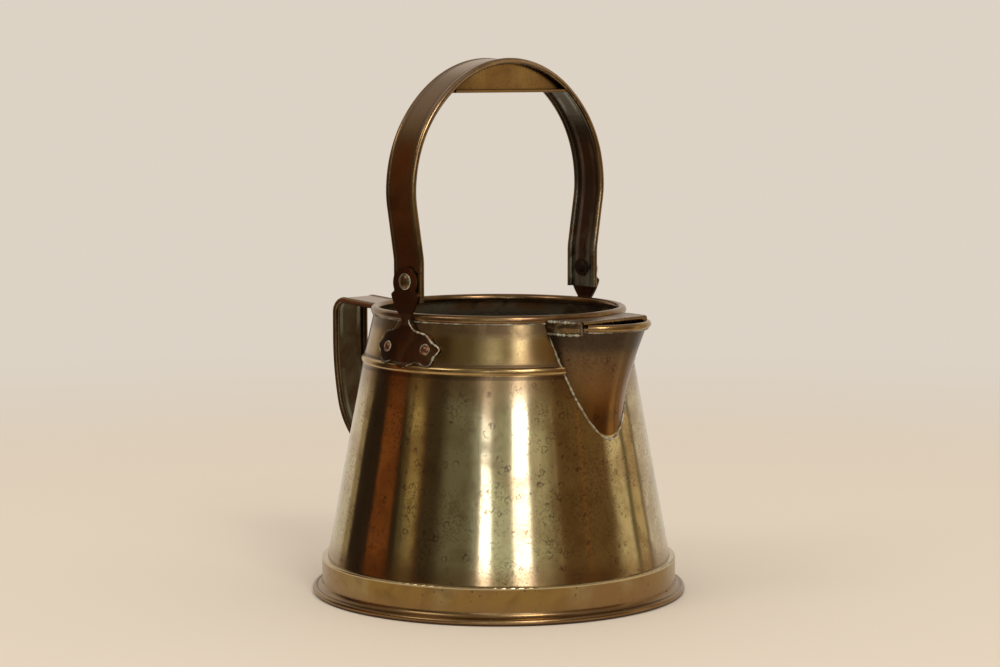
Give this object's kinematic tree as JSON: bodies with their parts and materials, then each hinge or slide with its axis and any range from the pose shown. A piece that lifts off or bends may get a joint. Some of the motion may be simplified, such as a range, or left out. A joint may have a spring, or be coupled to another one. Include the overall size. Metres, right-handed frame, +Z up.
{
  "type": "hot water can",
  "caption": "Tapered sheet brass can with an open wired rim, scoop spout with a bridge, swinging bail with a boxed grip, and a fixed back handle",
  "frame": {"origin": "the middle of the base, on the surface that the can stands on", "axes": "+X points out of the spout, -X to the back handle, the bail's pivot axis runs along Y, +Z is up"},
  "size_m": [0.294, 0.272, 0.386],
  "materials": {
    "body_brass": "aged polish",
    "foot_brass": "aged polish",
    "base_brass": "dull",
    "spout_brass": "aged polish",
    "bridge_brass": "brown patina",
    "ear_brass": "dark patina",
    "strap_brass": "dark patina",
    "grip_brass": "brown patina",
    "rivet_copper": "worn copper",
    "washer_brass": "dull",
    "iron_wire": "dull"
  },
  "bodies": {
    "can": {"body_cone": "body_brass", "collar": "body_brass", "foot_skirt": "foot_brass", "base_plate": "base_brass", "spout": "spout_brass", "spout_bridge": "bridge_brass", "ear_near": "ear_brass", "ear_far": "ear_brass", "back_handle": "strap_brass", "ear_rivets": "rivet_copper", "handle_rivets": "rivet_copper", "pivot_rivets": "rivet_copper", "rivet_roves": "rivet_copper", "pivot_washers": "washer_brass", "rim_wire": "iron_wire", "foot_wire": "iron_wire", "spout_rim_wire": "iron_wire", "handle_wire_near": "iron_wire", "handle_wire_far": "iron_wire"},
    "bail": {"bail_strap": "strap_brass", "bail_wire_front": "iron_wire", "bail_wire_back": "iron_wire", "grip_floor": "grip_brass", "grip_web_front": "grip_brass", "grip_web_back": "grip_brass"}
  },
  "joints": [
    {"name": "bail_swing", "type": "hinge", "parent": "can", "child": "bail", "pos_m": [0, 0, 0.2305], "axis": [0, 1, 0], "range_deg": [-94, 94]}
  ]
}
